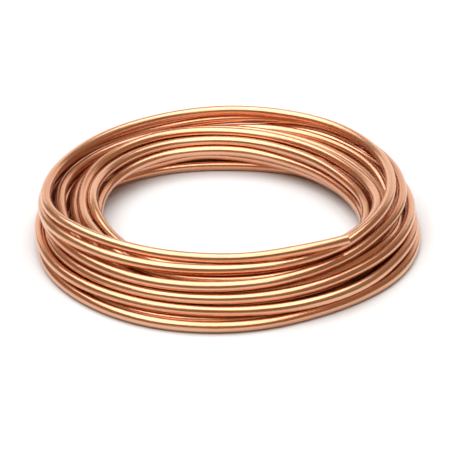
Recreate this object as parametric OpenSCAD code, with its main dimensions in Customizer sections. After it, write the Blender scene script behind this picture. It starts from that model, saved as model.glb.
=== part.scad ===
// A coil of soft copper tube, lying flat as it is stored.
//
// The coil is one turned solid. Its rows of turns show as round ridges on both ends and round the
// outside, its bore is the clear hole inside the innermost turns, and a plain core fills the
// bundle behind them. Every second row lies in the grooves of the rows above and below. The last
// turn lies level in a groove of the top row and ends in the open, cut end of the tube. The frame
// is millimetres, +Z up along the coil's axis, with the origin on that axis where the lowest
// turns touch the floor.

/* [Tube] */
// Outside diameter of the tube, 3/8 inch
tube_od = 9.525; // [6.35:0.005:12.7]
// Thickness of its wall, 0.032 inch
tube_wall = 0.813; // [0.5:0.001:1.5]

/* [Coil] */
// Clear diameter inside the innermost turns
bore_d = 240; // [150:1:400]
// Turns side by side in a full row, from the bore to the outside
turns_across = 5; // [4:1:8]
// Rows of turns below the last turn, from the floor up
rows = 5; // [3:1:8]
// Slack between one turn and the next in a row
gap_across = 1.85; // [0.4:0.05:2.5]
// Slack between one row and the next, on top of where touching turns would lie
gap_up = 0.65; // [0.3:0.05:1.2]

/* [Last turn] */
// Direction from the axis to the free end, counter-clockwise from +X
end_azimuth = 312; // [180:1:360]
// How far round the coil the last turn lies on the top row before its end
last_sweep = 335; // [60:5:345]
// How deep the open end of the tube is hollow
open_depth = 35; // [10:1:60]
// How far the last turn sinks into the turns that carry it, so that the coil is one solid
seat = 0.4; // [0.2:0.05:0.8]

/* [Hidden] */
$fn = 96;
copper = [0.80, 0.47, 0.30];

bore_r = bore_d / 2;
tube_r = tube_od / 2;
hollow_r = tube_r - tube_wall;
pitch_across = tube_od + gap_across;
top_row = rows - 1;

// How much higher a turn lies than the two it rests between.
nesting_rise = sqrt(pow(tube_od, 2) - pow(pitch_across / 2, 2));
row_rise = nesting_rise + gap_up;

// The last turn lies in the groove between the two innermost turns of the top row.
last_r = bore_r + tube_r + pitch_across * (is_staggered(top_row) ? 1 : 0.5);
last_z = row_z(top_row) + nesting_rise - seat;
open_sweep = open_depth / last_r * 180 / PI;
past_end = 1;

// A full row, or a staggered row that has one turn less.
function is_staggered(row) = row % 2 == 1;
function turns_in(row) = is_staggered(row) ? turns_across - 1 : turns_across;

// Where a turn lies in the section: its distance from the axis and its height.
function turn_r(place, row) = bore_r + tube_r + (place + (is_staggered(row) ? 0.5 : 0)) * pitch_across;
function row_z(row) = tube_r + row * row_rise;
function outermost_r(row) = turn_r(turns_in(row) - 1, row);

// One turn of tube in the section.
module turn(place, row) {
    translate([turn_r(place, row), row_z(row)])
        circle(r = tube_r);
}

// The turns of one end of the coil.
module end_turns(row) {
    for (place = [0 : turns_in(row) - 1])
        turn(place, row);
}

// The outermost turn of each row between the two ends.
module side_turns() {
    for (row = [1 : top_row - 1])
        turn(turns_in(row) - 1, row);
}

// What fills the bundle behind the turns that show. Its inner edge is the wall of the bore, and its
// outer edge runs from the middle of one row's outermost turn to the next.
module core() {
    polygon(concat(
        [[bore_r, row_z(top_row)], [bore_r, 0], [outermost_r(0), 0]],
        [for (row = [0 : top_row]) [outermost_r(row), row_z(row)]]
    ));
}

module bundle() {
    rotate_extrude() {
        core();
        end_turns(0);
        end_turns(top_row);
        side_turns();
    }
}

// A round bar on the path of the last turn, from one direction to another.
module last_bar(bar_r, from, to) {
    rotate([0, 0, from])
        translate([0, 0, last_z])
            rotate_extrude(angle = to - from)
                translate([last_r, 0])
                    circle(r = bar_r);
}

module last_turn() {
    last_bar(tube_r, end_azimuth - last_sweep, end_azimuth);
}

// The hollow of the tube behind its open end. The cut runs past the end, to leave no skin on it.
module open_end() {
    last_bar(hollow_r, end_azimuth - open_sweep, end_azimuth + past_end);
}

module tube_coil() {
    color(copper)
        difference() {
            union() {
                bundle();
                last_turn();
            }
            open_end();
        }
}

tube_coil();
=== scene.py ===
# %% [markdown]
# # A coil of soft copper tube
#
# The object is one length of soft copper tube, wound by hand into a flat ring of about sixteen
# loose turns. Everything that shows is that one tube: where its turns lie, how they cross, its
# open end, and the shine of drawn copper. So this lesson has two jobs. The first is to lay the
# tube, turn by turn, so that its turns rest on each other and don't visibly cut into each other.
# The second is a metal that looks like copper from every side.
#
# The CAD model is a simplified coil, one turned solid. It gives the place, the size and the
# physics. The wound tube made here stands for it.

# %% Load the frame
import math

import bpy
import numpy as np
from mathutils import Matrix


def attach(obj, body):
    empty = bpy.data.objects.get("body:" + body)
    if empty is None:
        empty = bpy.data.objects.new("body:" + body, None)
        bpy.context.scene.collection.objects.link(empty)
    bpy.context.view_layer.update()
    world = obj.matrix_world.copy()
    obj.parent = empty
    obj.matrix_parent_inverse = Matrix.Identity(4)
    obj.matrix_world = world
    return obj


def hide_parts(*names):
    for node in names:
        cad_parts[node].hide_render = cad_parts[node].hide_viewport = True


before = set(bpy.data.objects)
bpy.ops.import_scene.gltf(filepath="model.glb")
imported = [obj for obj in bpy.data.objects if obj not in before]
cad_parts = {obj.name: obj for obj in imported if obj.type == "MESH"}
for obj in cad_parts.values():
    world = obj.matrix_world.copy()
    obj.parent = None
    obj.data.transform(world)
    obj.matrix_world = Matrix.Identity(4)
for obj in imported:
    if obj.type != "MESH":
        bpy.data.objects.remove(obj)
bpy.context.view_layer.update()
bpy.ops.object.select_all(action="DESELECT")

# %% [markdown]
# ## The camera
#
# A product is often shown through a long lens from a little way off, which keeps the near and
# the far side of a ring almost the same size. The camera looks down at the coil at a flat
# angle. It is placed by distance and angle from the middle of the coil, and its small shift
# only moves the coil within the frame.

# %% Camera
CAMERA_TILT = math.radians(28.8)  # how steeply it looks down
CAMERA_DISTANCE = 1.905  # metres
CAMERA_LENS = 167.8  # millimetres
CAMERA_SHIFT = (-0.0133, 0.0187)  # as a share of the frame's width
COIL_MIDDLE = (0.0027, 0.0025)  # where the axis of the lay is, in metres

camera = bpy.data.objects.new("camera", bpy.data.cameras.new("camera"))
bpy.context.collection.objects.link(camera)
camera.location = (
    COIL_MIDDLE[0],
    COIL_MIDDLE[1] - CAMERA_DISTANCE * math.cos(CAMERA_TILT),
    CAMERA_DISTANCE * math.sin(CAMERA_TILT),
)
camera.rotation_euler = (math.pi / 2 - CAMERA_TILT, 0, 0)
camera.data.lens = CAMERA_LENS
camera.data.shift_x, camera.data.shift_y = CAMERA_SHIFT
bpy.context.scene.camera = camera
print("camera at", [round(v, 3) for v in camera.location])

# %% [markdown]
# ## The lay of the turns
#
# A coil like this is not a helix. The hand that wound it let each turn slide where it would, so
# turns cross from the outside to the inside over a quarter of the ring, and gaps open between
# them. The lay is written as a winder would note it: for each turn, counted back from the free
# end, a list of places. A place is the direction from the axis in degrees, counter-clockwise
# from the right, then the distance from the axis and the height of the tube's middle. Both are
# in tenths of the tube's own diameter, which makes it easy to see what rests on what: two
# touching turns are 10 apart, and a turn on the floor has its middle at 5. The places are whole
# numbers, mostly 30 degrees apart, and closer or wider where a turn changes its course or keeps
# it. What lies between is worked out below.
#
# The first six lists are the outer turns, from the free end on top down to the floor. The next
# six are the inner bundle. Then come four turns inside it, and the hidden start of the tube.

# %% The lay, turn by turn
TUBE = 0.009525  # outside diameter, metres
WALL = 0.000813  # metres
DIAMETER = 10  # the same outside diameter, in the units of the lay
FREE_END, HIDDEN_START = 316, 200  # directions of the two ends of the tube

LAY = [
    # the last turn, up to the free end
    [(-30, 142, 45), (0, 150, 46), (30, 163, 46), (60, 173, 46), (90, 174, 46), (120, 170, 46),
     (150, 170, 46), (192, 175, 48), (210, 161, 48), (240, 141, 47), (270, 133, 47), (300, 139, 51),
     (316, 148, 51)],
    # the outer turns, from the top down
    [(-30, 147, 34), (-15, 152, 34), (0, 159, 34), (30, 172, 35), (60, 178, 36), (90, 173, 36),
     (120, 170, 34), (150, 175, 35), (195, 176, 39), (210, 168, 40), (240, 152, 41), (270, 141, 41),
     (300, 139, 41), (315, 140, 41)],
    [(-30, 161, 24), (-15, 164, 24), (0, 169, 24), (25, 174, 25), (60, 168, 36), (90, 176, 26),
     (150, 178, 25), (180, 176, 28), (210, 169, 31), (240, 164, 32), (270, 157, 33), (315, 147, 33)],
    [(-30, 168, 15), (0, 172, 15), (90, 172, 16), (150, 173, 17), (180, 171, 19), (200, 174, 20),
     (215, 173, 21), (240, 169, 23), (270, 163, 24), (315, 159, 24)],
    [(-30, 174, 5), (0, 175, 5), (60, 180, 7), (120, 180, 9), (150, 181, 11), (180, 180, 15),
     (210, 182, 15), (240, 175, 15), (270, 169, 15), (315, 170, 15)],
    [(-30, 153, 23), (0, 161, 17), (30, 166, 10), (60, 167, 6), (120, 169, 5), (180, 178, 5), (210, 184, 5),
     (240, 185, 5), (270, 179, 5), (300, 170, 5), (315, 171, 5)],
    # the inner bundle
    [(-30, 140, 28), (0, 146, 30), (30, 143, 33), (60, 148, 33), (90, 158, 32), (120, 162, 33),
     (165, 165, 34), (180, 161, 33), (210, 156, 28), (270, 151, 23), (315, 148, 23)],
    [(-30, 135, 37), (-10, 140, 38), (30, 132, 36), (60, 136, 36), (90, 147, 35), (120, 153, 36),
     (150, 148, 36), (180, 140, 34), (210, 139, 34), (240, 147, 32), (270, 144, 31), (315, 139, 30)],
    [(-30, 130, 26), (0, 129, 28), (30, 122, 30), (60, 125, 31), (90, 137, 30), (120, 142, 31),
     (150, 138, 33), (180, 133, 36), (210, 127, 29), (240, 129, 28), (270, 132, 35), (315, 131, 36)],
    [(-30, 130, 16), (0, 128, 17), (30, 122, 19), (60, 124, 21), (90, 129, 24), (120, 135, 24),
     (150, 132, 23), (180, 127, 23), (210, 131, 20), (240, 134, 20), (270, 129, 25), (315, 129, 25)],
    [(-30, 129, 5), (0, 130, 6), (30, 130, 9), (60, 130, 12), (90, 135, 16), (105, 140, 17), (120, 141, 15),
     (150, 147, 15), (180, 141, 14), (210, 129, 12), (240, 128, 12), (270, 130, 15), (315, 130, 15)],
    [(0, 145, 5), (45, 140, 5), (90, 133, 5), (120, 142, 5), (150, 152, 5), (180, 148, 5), (240, 135, 5),
     (315, 130, 5)],
    # the turns inside the bundle
    [(-30, 144, 18), (0, 150, 24), (30, 155, 36), (60, 160, 36), (90, 167, 30), (120, 167, 24),
     (150, 165, 22), (180, 159, 21), (210, 155, 15), (255, 150, 5), (315, 145, 5)],
    [(-30, 137, 11), (0, 138, 12), (45, 142, 17), (90, 149, 24), (120, 155, 25), (150, 158, 28),
     (180, 147, 27), (210, 142, 25), (270, 141, 20), (315, 142, 18)],
    [(-30, 152, 12), (90, 155, 15), (150, 157, 13), (180, 156, 12), (210, 146, 13), (270, 140, 10),
     (315, 137, 10)],
    [(-30, 159, 5), (90, 156, 5), (150, 163, 5), (180, 167, 9), (210, 165, 15), (270, 158, 15),
     (315, 153, 13)],
    # the hidden start
    [(200, 170, 5), (235, 175, 5), (270, 168, 5), (315, 160, 5)],
]

# %% [markdown]
# ## From places to a path
#
# The places are joined by a curve that does not overshoot between them (a cubic with its slope
# limited at each place), because an overshoot would push a turn into its neighbour. A running
# average then takes out the small kinks that soft tube would not keep.

# %% A smooth path through the places
STEPS = 96  # stations in one turn
KINK_WIDTH = 1.6  # stations over which small kinks are averaged out
BELL_REACH = 3  # widths from its middle at which the bell-shaped weight ends


def joined(where, places, wanted):
    """Cubic through the places, with slopes that never overshoot."""
    gap = np.diff(where)
    rise = np.diff(places) / gap
    slope = np.zeros_like(places)
    same_way = rise[1:] * rise[:-1] > 0
    weight_a, weight_b = 2 * gap[1:] + gap[:-1], gap[1:] + 2 * gap[:-1]
    safe = np.where(same_way, rise[1:] * rise[:-1], 1)
    mean = (weight_a + weight_b) * safe / (
        weight_a * np.where(same_way, rise[1:], 1) + weight_b * np.where(same_way, rise[:-1], 1)
    )
    slope[1:-1] = np.where(same_way, mean, 0)
    slope[0], slope[-1] = rise[0], rise[-1]
    i = np.clip(np.searchsorted(where, wanted) - 1, 0, len(gap) - 1)
    t = (wanted - where[i]) / gap[i]
    return (
        (1 + 2 * t) * (1 - t) ** 2 * places[i]
        + t * (1 - t) ** 2 * gap[i] * slope[i]
        + t * t * (3 - 2 * t) * places[i + 1]
        + t * t * (t - 1) * gap[i] * slope[i + 1]
    )


def smoothed(columns, width):
    """Running average with a bell-shaped weight, as wide as that many stations."""
    reach = int(math.ceil(BELL_REACH * width))
    bell = np.exp(-0.5 * (np.arange(-reach, reach + 1) / width) ** 2)
    bell /= bell.sum()
    before = 2 * columns[:1] - columns[1 : reach + 1][::-1]
    after = 2 * columns[-1:] - columns[-reach - 1 : -1][::-1]
    padded = np.concatenate([before, columns, after])
    return np.stack([np.convolve(padded[:, c], bell, "valid") for c in range(columns.shape[1])], -1)


places = np.array(
    sorted(
        (angle - 360.0 * turn, away, height)
        for turn, stops in enumerate(LAY)
        for angle, away, height in stops
    )
)
first = HIDDEN_START - 360 * (len(LAY) - 1)
stations = np.arange(first * STEPS // 360, FREE_END * STEPS // 360 + 1) * 360.0 / STEPS
clipped = np.clip(stations, places[0, 0], places[-1, 0])
section = np.stack([joined(places[:, 0], places[:, c], clipped) for c in (1, 2)], -1)
section = smoothed(section, KINK_WIDTH)
print("stations:", len(stations), "in", round((stations[-1] - stations[0]) / 360, 2), "turns")

# %% [markdown]
# ## Settling the turns against each other
#
# At one direction from the axis, the turns are circles in a section, and stations a whole turn
# apart in the path are neighbours there. So running through itself is easy to find and to mend:
# where two circles are closer than a diameter, both move apart by what is missing. The outer
# turns move least and the hidden ones most. Each push is spread along the tube, because copper
# is stiff, over a long stretch at first and a short one at the end. Nothing goes below the floor.
# A cloth or rope simulation could do the same, but it would not keep the lay.

# %% Push the turns apart
FLOOR_LEVEL = DIAMETER / 2  # the middle of a turn that lies on the floor
CLEARANCE = 1.004  # how far apart turns are kept, in diameters
TINY = 1e-9  # keeps a distance from being nothing
PUSH_SHARE = 0.5  # how much of a push is made in one round
CLEAR_ENOUGH = 0.03  # in units of the lay: with no more missing, pushes are no longer spread
STAGES = [  # stations that a push is spread over, the share that is spread, and the rounds
    (6, 0.35, 100), (4, 0.35, 50), (3, 0.35, 50), (2, 0.35, 50), (1.5, 0.35, 50), (1, 0.08, 150),
]


def pushes(where, ease):
    """How far each station must move to be clear of its neighbours, and the most that is missing."""
    push, worst = np.zeros_like(where), 0.0
    slope = np.gradient(where, axis=0) / (math.radians(360 / STEPS) * where[:, :1])
    for ahead in range(STEPS, len(where), STEPS):
        apart = where[:-ahead] - where[ahead:]
        distance = np.hypot(apart[:, 0], apart[:, 1]) + TINY
        way = apart / distance[:, None]
        lean = ((slope[:-ahead] + slope[ahead:]) / 2 * way).sum(1)
        missing = np.clip(DIAMETER * CLEARANCE * np.sqrt(1 + lean**2) - distance, 0, None)
        share = ease[:-ahead] / (ease[:-ahead] + ease[ahead:])
        push[:-ahead] += way * (missing * share)[:, None]
        push[ahead:] -= way * (missing * (1 - share))[:, None]
        worst = max(worst, missing.max())
    return push, worst


def settled(drawn, ease):
    """The path once its turns have been pushed apart, stage by stage."""
    moved = np.zeros_like(drawn)
    for width, share, rounds in STAGES:
        for _ in range(rounds):
            push, worst = pushes(drawn + moved, ease)
            moved += PUSH_SHARE * push
            if worst > CLEAR_ENOUGH:
                moved += share * (smoothed(moved, width) - moved)
            moved[:, 1] = np.maximum(moved[:, 1], FLOOR_LEVEL - drawn[:, 1])
    print("most that was missing before the last push, mm:", round(1000 * worst * TUBE / DIAMETER, 3))
    return drawn + moved


# %% [markdown]
# The outer turns give the coil its outline, so they move least. The inner bundle gives way more,
# and most where the camera can't see it. That is past 205 degrees, behind the front of the coil,
# and for the turns inside the bundle before 145 degrees too.

# %% How easily each turn moves
SEAM = -48  # directions are counted round from here
OUTER_TURNS, TURNS_TO_INSIDE = 6, 12  # turns before the inner bundle, and before its inside
INSIDE_SHOWS_FROM, INNER_SHOWS_TO = 145, 205
EASE_OUTER, EASE_INNER, EASE_HIDDEN = 0.35, 1.0, 3.0

turn_number = np.floor((FREE_END - stations) / 360)
direction = (stations - SEAM) % 360 + SEAM
inner = turn_number >= OUTER_TURNS
inside = turn_number >= TURNS_TO_INSIDE
out_of_sight = (inner & (direction > INNER_SHOWS_TO)) | (inside & (direction < INSIDE_SHOWS_FROM))
ease = np.where(out_of_sight, EASE_HIDDEN, np.where(inner, EASE_INNER, EASE_OUTER))
section = settled(section, ease)

turned = np.radians(stations)
centre_line = np.stack(
    [
        COIL_MIDDLE[0] + section[:, 0] * np.cos(turned) * TUBE / DIAMETER,
        COIL_MIDDLE[1] + section[:, 0] * np.sin(turned) * TUBE / DIAMETER,
        section[:, 1] * TUBE / DIAMETER,
    ],
    -1,
)
steps = np.linalg.norm(np.diff(centre_line, axis=0), axis=1)
along = np.concatenate([[0], np.cumsum(steps)])
print("length of the tube, m:", round(along[-1], 2))

# %% [markdown]
# ## The tube
#
# The tube is drawn as a curve with a round bevel, made a mesh, and given its wall by a Solidify
# modifier that works inwards, so that the outside diameter stays and the cut ends show a real
# bore. The curve keeps its up direction, which stops the sides from winding round the tube.

# %% Draw the tube and give it its wall
SIDES = 24
SHARP_EDGE = math.radians(40)  # the rims of the cut ends are sharper than this

path = bpy.data.curves.new("wound_tube", "CURVE")
path.dimensions = "3D"
path.twist_mode = "Z_UP"
path.bevel_depth = TUBE / 2
path.bevel_resolution = (SIDES - 4) // 2  # a bevel has 4 sides, and 2 more for each step
spline = path.splines.new("POLY")
spline.points.add(len(centre_line) - 1)
spline.points.foreach_set("co", np.c_[centre_line, np.ones(len(centre_line))].ravel())
wound_tube = bpy.data.objects.new("wound_tube", path)
bpy.context.collection.objects.link(wound_tube)
bpy.context.view_layer.objects.active = wound_tube
wound_tube.select_set(True)
bpy.ops.object.convert(target="MESH")
wound_tube = bpy.context.object
sides = len(wound_tube.data.vertices) // len(centre_line)
print("sides of the tube:", sides)

wall = wound_tube.modifiers.new("wall", "SOLIDIFY")
wall.thickness, wall.offset, wall.use_even_offset = WALL, -1, True
bpy.ops.object.modifier_apply(modifier=wall.name)
bpy.ops.object.shade_smooth_by_angle(angle=SHARP_EDGE)

# %% [markdown]
# ## Coordinates that follow the tube
#
# Tube is drawn through a die, so its marks run lengthwise. A pattern can only follow them if it
# knows how far along the tube a point is and on which side. Each point gets the place that it
# would have if the tube were pulled straight: metres along it, and the two distances across.
# Unlike a flat map round the tube, this has no seam.

# %% The place on the straightened tube
mesh = wound_tube.data
count = len(mesh.vertices)
points = np.empty(count * 3)
mesh.vertices.foreach_get("co", points)
points = points.reshape(-1, 3)
ring = (np.arange(count) // sides) % len(centre_line)
ahead = np.gradient(centre_line, axis=0)
ahead /= np.linalg.norm(ahead, axis=1, keepdims=True)
outward = np.cross(ahead, (0, 0, 1))
outward /= np.linalg.norm(outward, axis=1, keepdims=True)
upward = np.cross(outward, ahead)
offset = points - centre_line[ring]
straight = np.stack([along[ring], (offset * outward[ring]).sum(1), (offset * upward[ring]).sum(1)], -1)
mesh.attributes.new("straight", "FLOAT_VECTOR", "POINT").data.foreach_set("vector", straight.ravel())
reach = np.hypot(straight[:, 1], straight[:, 2])
print("points:", count, "from the middle, mm:", (1000 * reach.min()).round(3), (1000 * reach.max()).round(3))

# %% [markdown]
# ## Copper
#
# Bright drawn copper is a clean metal with a satin shine. Its colour comes from the metal
# itself: light that meets it once comes back cream to orange, and light that bounces between
# turns comes back deeper red each time, which Cycles works out. The material adds what the
# drawing and the handling leave: lengthwise lines, slow changes of tone along the tube, and duller
# patches where it was rubbed. A thin clear coat turns the brightest streaks from orange to cream.
#
# Shader sums are easier to read as sums, so a small class wraps a socket and lets it be added
# and multiplied.

# %% Shader sums
class Value:
    """A socket that can be used in a sum."""

    def __init__(self, tree, socket):
        self.tree, self.socket = tree, socket

    def sum(self, operation, a, b):
        return node(self.tree, "ShaderNodeMath", {"operation": operation}, {0: a, 1: b})

    def __add__(self, other):
        return self.sum("ADD", self, other)

    __radd__ = __add__

    def __mul__(self, other):
        return self.sum("MULTIPLY", self, other)

    __rmul__ = __mul__


def node(tree, kind, settings=None, inputs=None, output=0):
    """Adds one node: first its settings, then the values or links of its sockets."""
    made = tree.nodes.new(kind)
    for key, value in (settings or {}).items():
        if key == "stops":
            for element, (place, colour) in zip(made.color_ramp.elements, value):
                element.position, element.color = place, colour
        else:
            setattr(made, key, value)
    for key, value in (inputs or {}).items():
        if isinstance(value, Value):
            tree.links.new(value.socket, made.inputs[key])
        else:
            made.inputs[key].default_value = value
    return Value(tree, made.outputs[output])


# %% The copper
DEEP_COPPER = (0.66, 0.28, 0.145, 1)
PALE_COPPER = (0.82, 0.48, 0.3, 1)

copper = bpy.data.materials.new("drawn_copper")
copper.use_nodes = True
tree = copper.node_tree
shader = tree.nodes["Principled BSDF"]
shader.inputs["Metallic"].default_value = 1.0
shader.inputs["Coat Weight"].default_value = 0.6
shader.inputs["Coat Roughness"].default_value = 0.12


def lengthwise_noise(per_metre_along, per_metre_across, detail):
    """Noise on the straightened tube, stretched along it."""
    place = node(tree, "ShaderNodeAttribute", {"attribute_name": "straight"}, output="Vector")
    scaled = node(
        tree, "ShaderNodeVectorMath", {"operation": "MULTIPLY"},
        {0: place, 1: (per_metre_along, per_metre_across, per_metre_across)},
    )
    return node(tree, "ShaderNodeTexNoise", None, {"Vector": scaled, "Scale": 1.0, "Detail": detail}, "Fac")


tone = lengthwise_noise(9, 60, 2)
lines = lengthwise_noise(8, 700, 3)
rubbed = lengthwise_noise(30, 220, 4)

colour = node(
    tree, "ShaderNodeValToRGB",
    {"stops": [(0.3, DEEP_COPPER), (0.7, PALE_COPPER)]},
    {"Fac": tone * 0.6 + lines * 0.4},
)
roughness = 0.12 + 0.14 * lines + 0.08 * rubbed
tree.links.new(colour.socket, shader.inputs["Base Color"])
tree.links.new(roughness.socket, shader.inputs["Roughness"])
relief = node(tree, "ShaderNodeBump", None, {"Strength": 0.6, "Distance": 0.0004, "Height": lines}, "Normal")
tree.links.new(relief.socket, shader.inputs["Normal"])

mesh.materials.clear()
mesh.materials.append(copper)
print("material:", copper.name, "with", len(tree.nodes), "nodes")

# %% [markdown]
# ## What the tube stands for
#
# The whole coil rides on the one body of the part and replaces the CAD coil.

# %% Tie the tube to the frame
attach(wound_tube, "root")
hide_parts("tube_coil")

# %% [markdown]
# ## Floor and light
#
# Metal shows what stands round it. A pale floor gives the undersides a soft salmon light. A broad
# light overhead draws the long cream line on every turn, and a low wide one behind the coil
# brightens the turns that lean away. The rest of the room is dim and warm, which keeps the sides
# brown and the gaps dark. The paper is slightly cool, so that in this warm room it turns out white.

# %% Floor
FLOOR_WIDTH = 8  # metres
COOL_WHITE = (0.77, 0.8, 0.83, 1)

bpy.ops.mesh.primitive_plane_add(size=FLOOR_WIDTH, location=(0, 0, 0))
floor = bpy.context.object
floor.name = "floor"
paper = bpy.data.materials.new("white_paper")
paper.use_nodes = True
paper_shader = paper.node_tree.nodes["Principled BSDF"]
paper_shader.inputs["Base Color"].default_value = COOL_WHITE
paper_shader.inputs["Roughness"].default_value = 0.9
paper_shader.inputs["Specular IOR Level"].default_value = 0.1
floor.data.materials.append(paper)

# %% Light
WARM_ROOM = (1, 0.72, 0.5, 1)
ROOM_STRENGTH = 0.32


def softbox(name, place, size, power):
    """A broad lamp of that size in metres and power in watts, turned to the coil."""
    lamp = bpy.data.objects.new(name, bpy.data.lights.new(name, "AREA"))
    bpy.context.collection.objects.link(lamp)
    lamp.location = place
    lamp.data.shape = "RECTANGLE"
    lamp.data.size, lamp.data.size_y = size
    lamp.data.energy = power
    aim = -lamp.location.normalized()
    lamp.rotation_euler = aim.to_track_quat("-Z", "Y").to_euler()
    print(name, "at", place)


softbox("overhead", (-0.15, 0.0, 1.5), (2.4, 2.2), 44)
softbox("backdrop", (0.0, 2.6, 0.8), (5.0, 1.6), 21)

world = bpy.data.worlds.new("studio")
world.use_nodes = True
world.node_tree.nodes["Background"].inputs["Color"].default_value = WARM_ROOM
world.node_tree.nodes["Background"].inputs["Strength"].default_value = ROOM_STRENGTH
bpy.context.scene.world = world
bpy.context.scene.view_settings.view_transform = "Standard"
